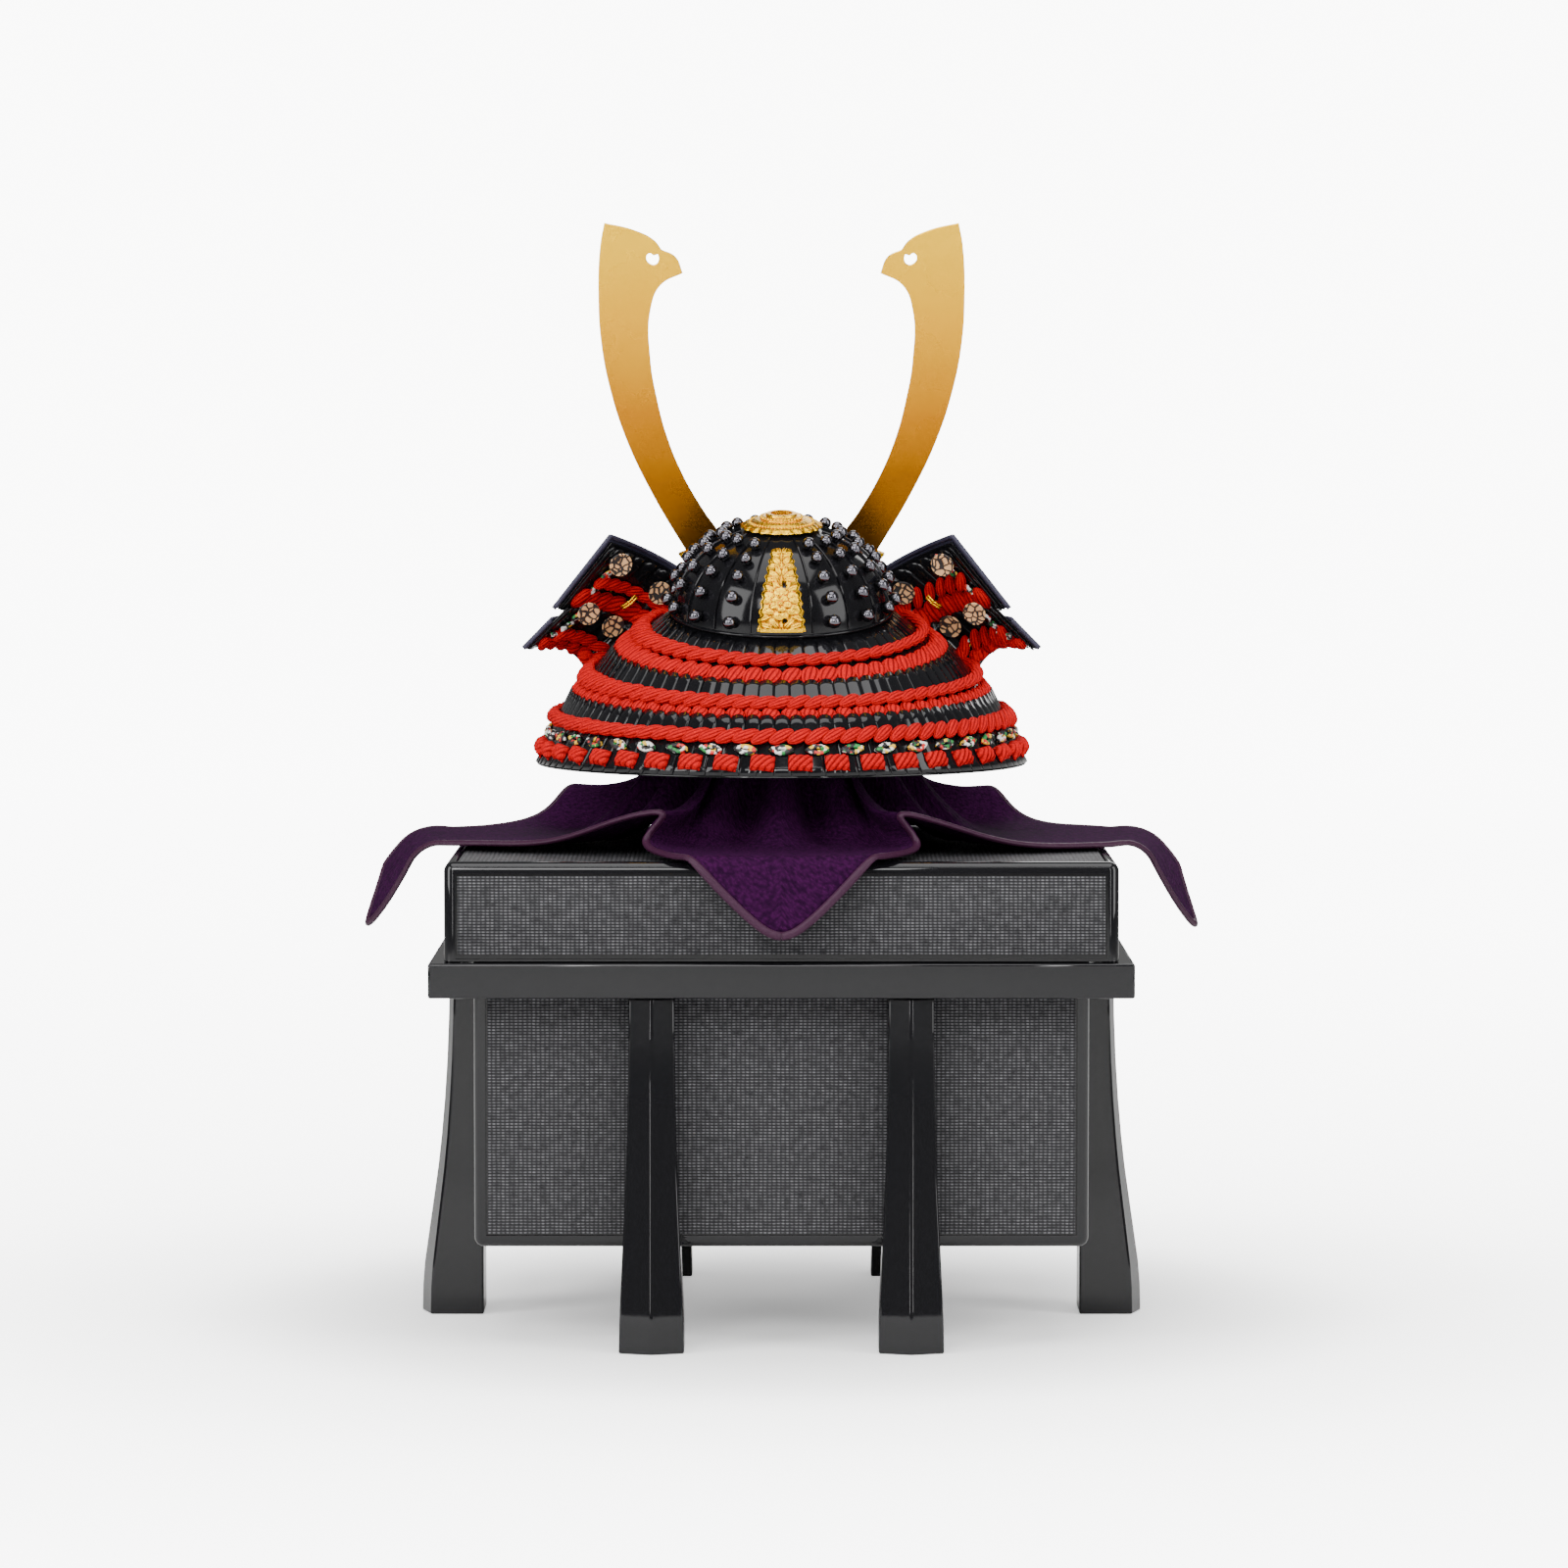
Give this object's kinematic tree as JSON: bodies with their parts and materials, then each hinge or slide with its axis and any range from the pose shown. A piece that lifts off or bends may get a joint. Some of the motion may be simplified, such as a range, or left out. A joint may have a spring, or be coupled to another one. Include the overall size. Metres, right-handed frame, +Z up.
{
  "type": "samurai helmet on its storage chest stand",
  "caption": "Small display samurai helmet with flat gold horns and laced neck guard, carried by a cloth-draped post on a black lacquered chest with splayed legs.",
  "frame": {"origin": "middle of the chest's footprint, on the surface that its feet stand on", "axes": "+Z up, +Y the way the helmet faces, +X to the helmet's own right"},
  "size_m": [0.3646, 0.2758, 0.4827],
  "materials": {
    "chest_lacquer": "gloss black lacquer",
    "woven_panel": "dark grey woven sheet with light flecks",
    "bowl_lacquer": "semi-gloss black lacquer",
    "gilt": "cast and gilded",
    "gold_plate": "brushed gold plating",
    "guard_lacquer": "gloss black lacquer",
    "red_cord": "braided cord",
    "navy_leather": "fine matt grain",
    "tan_leather": "printed with dark blotches",
    "post_wood": "plain",
    "crepe": "crinkled purple crepe with a satin hem"
  },
  "bodies": {
    "root": {"chest_body": "chest_lacquer", "chest_rail": "chest_lacquer", "chest_lid": "chest_lacquer", "leg_rear_left": "chest_lacquer", "leg_rear_right": "chest_lacquer", "leg_front_left": "chest_lacquer", "leg_front_right": "chest_lacquer", "leg_left": "chest_lacquer", "leg_right": "chest_lacquer", "body_panel_rear": "woven_panel", "body_panel_front": "woven_panel", "body_panel_left": "woven_panel", "body_panel_right": "woven_panel", "lid_panel_rear": "woven_panel", "lid_panel_front": "woven_panel", "lid_panel_left": "woven_panel", "lid_panel_right": "woven_panel", "lid_panel_top": "woven_panel", "bowl": "bowl_lacquer", "visor": "bowl_lacquer", "crown_ring": "gilt", "back_plate": "gilt", "visor_rim": "gilt", "horn_holder": "gilt", "crest_stud_left": "gilt", "crest_stud_right": "gilt", "horn_left": "gold_plate", "horn_right": "gold_plate", "guard_1": "guard_lacquer", "guard_2": "guard_lacquer", "guard_3": "guard_lacquer", "lacing_1": "red_cord", "lacing_2": "red_cord", "rope_1": "red_cord", "rope_2": "red_cord", "rope_3": "red_cord", "stitches": "red_cord", "cover_upper_left": "navy_leather", "cover_upper_right": "navy_leather", "cover_lower_left": "navy_leather", "cover_lower_right": "navy_leather", "washer_left_1": "tan_leather", "washer_left_2": "tan_leather", "washer_left_3": "tan_leather", "washer_left_4": "tan_leather", "washer_right_1": "tan_leather", "washer_right_2": "tan_leather", "washer_right_3": "tan_leather", "washer_right_4": "tan_leather", "post": "post_wood", "cloth": "crepe"}
  },
  "joints": []
}
